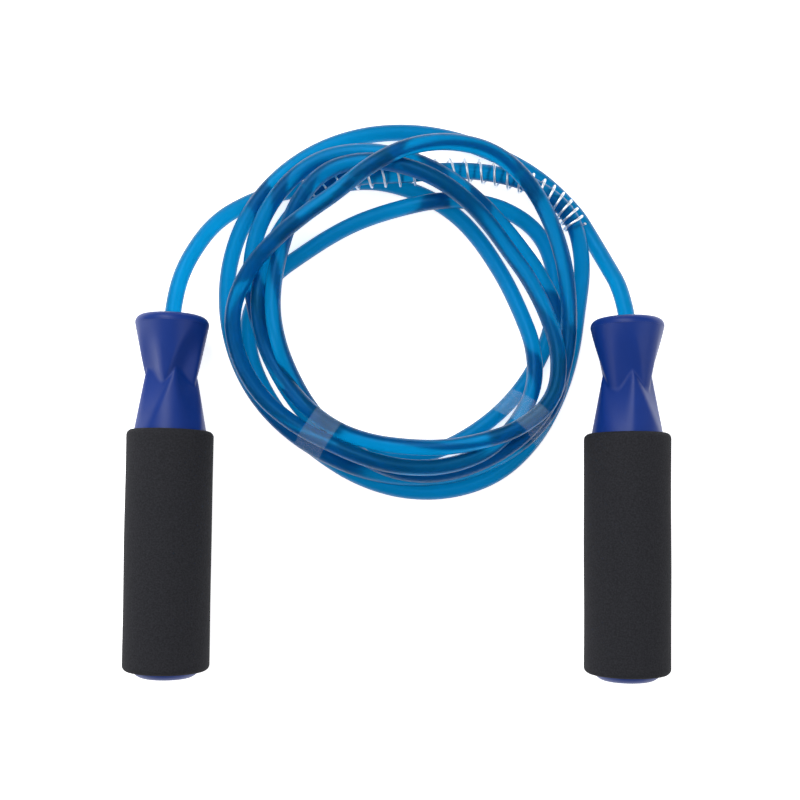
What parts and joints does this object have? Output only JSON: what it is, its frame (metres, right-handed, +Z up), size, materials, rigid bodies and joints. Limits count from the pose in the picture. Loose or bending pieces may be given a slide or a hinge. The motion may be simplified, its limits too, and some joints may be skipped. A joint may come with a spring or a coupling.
{
  "type": "jump rope",
  "caption": "Jump rope with foam-sleeved plastic handles that spin on ball bearings, a round plastic cord wound in a taped coil, and a wire wear spring.",
  "frame": {"origin": "on the supporting plane, under the middle of the box round the two handles", "axes": "+X from the left handle to the right handle, +Y from the grips towards the coiled cord, +Z up"},
  "size_m": [0.2353, 0.2436, 0.037],
  "materials": {
    "cord": "glossy translucent blue PVC",
    "spring_wire": "bright zinc-plated wire",
    "clear_tape": "clear packing tape",
    "handle_plastic": "satin moulded royal blue",
    "grip_foam": "matt black foam",
    "bearing_steel": "ground steel",
    "ball_steel": "polished steel",
    "cage_steel": "pressed steel",
    "bush_plastic": "moulded red",
    "washer_steel": "zinc-plated",
    "ferrule_aluminium": "crimped tube"
  },
  "bodies": {
    "rope": {"cord_coil": "cord", "left_lead": "cord", "right_lead": "cord", "wear_spring": "spring_wire", "lower_left_tape": "clear_tape", "lower_right_tape": "clear_tape", "left_inner_race": "bearing_steel", "left_cord_bush": "bush_plastic", "left_thrust_washer": "washer_steel", "left_crimp_ferrule": "ferrule_aluminium", "left_cord_tail": "cord", "right_inner_race": "bearing_steel", "right_cord_bush": "bush_plastic", "right_thrust_washer": "washer_steel", "right_crimp_ferrule": "ferrule_aluminium", "right_cord_tail": "cord"},
    "left_handle": {"left_handle_core": "handle_plastic", "left_nose_cap": "handle_plastic", "left_foam_grip": "grip_foam", "left_outer_race": "bearing_steel"},
    "left_ball_set": {"left_bearing_balls": "ball_steel", "left_ball_cage": "cage_steel"},
    "left_cap": {"left_end_cap": "handle_plastic"},
    "right_handle": {"right_handle_core": "handle_plastic", "right_nose_cap": "handle_plastic", "right_foam_grip": "grip_foam", "right_outer_race": "bearing_steel"},
    "right_ball_set": {"right_bearing_balls": "ball_steel", "right_ball_cage": "cage_steel"},
    "right_cap": {"right_end_cap": "handle_plastic"}
  },
  "joints": [
    {"name": "left_swivel", "type": "hinge", "parent": "rope", "child": "left_handle", "pos_m": [-0.0963, 0.0778, 0.0185], "axis": [0.0192, 0.9998, 0], "continuous": true},
    {"name": "left_ball_orbit", "type": "hinge", "parent": "rope", "child": "left_ball_set", "pos_m": [-0.09644, 0.0703, 0.0185], "axis": [0.0192, 0.9998, 0], "continuous": true},
    {"name": "left_cap_pull", "type": "slide", "parent": "left_handle", "child": "left_cap", "axis": [-0.0192, -0.9998, 0], "range_m": [0, 0.016]},
    {"name": "right_swivel", "type": "hinge", "parent": "rope", "child": "right_handle", "pos_m": [0.0992, 0.0765, 0.0185], "axis": [0, 1, 0], "continuous": true},
    {"name": "right_ball_orbit", "type": "hinge", "parent": "rope", "child": "right_ball_set", "pos_m": [0.0992, 0.069, 0.0185], "axis": [0, 1, 0], "continuous": true},
    {"name": "right_cap_pull", "type": "slide", "parent": "right_handle", "child": "right_cap", "axis": [0, -1, 0], "range_m": [0, 0.016]}
  ],
  "couplings": [
    {"joint": "left_ball_orbit", "follows": "left_swivel", "ratio": 0.632},
    {"joint": "right_ball_orbit", "follows": "right_swivel", "ratio": 0.632}
  ]
}
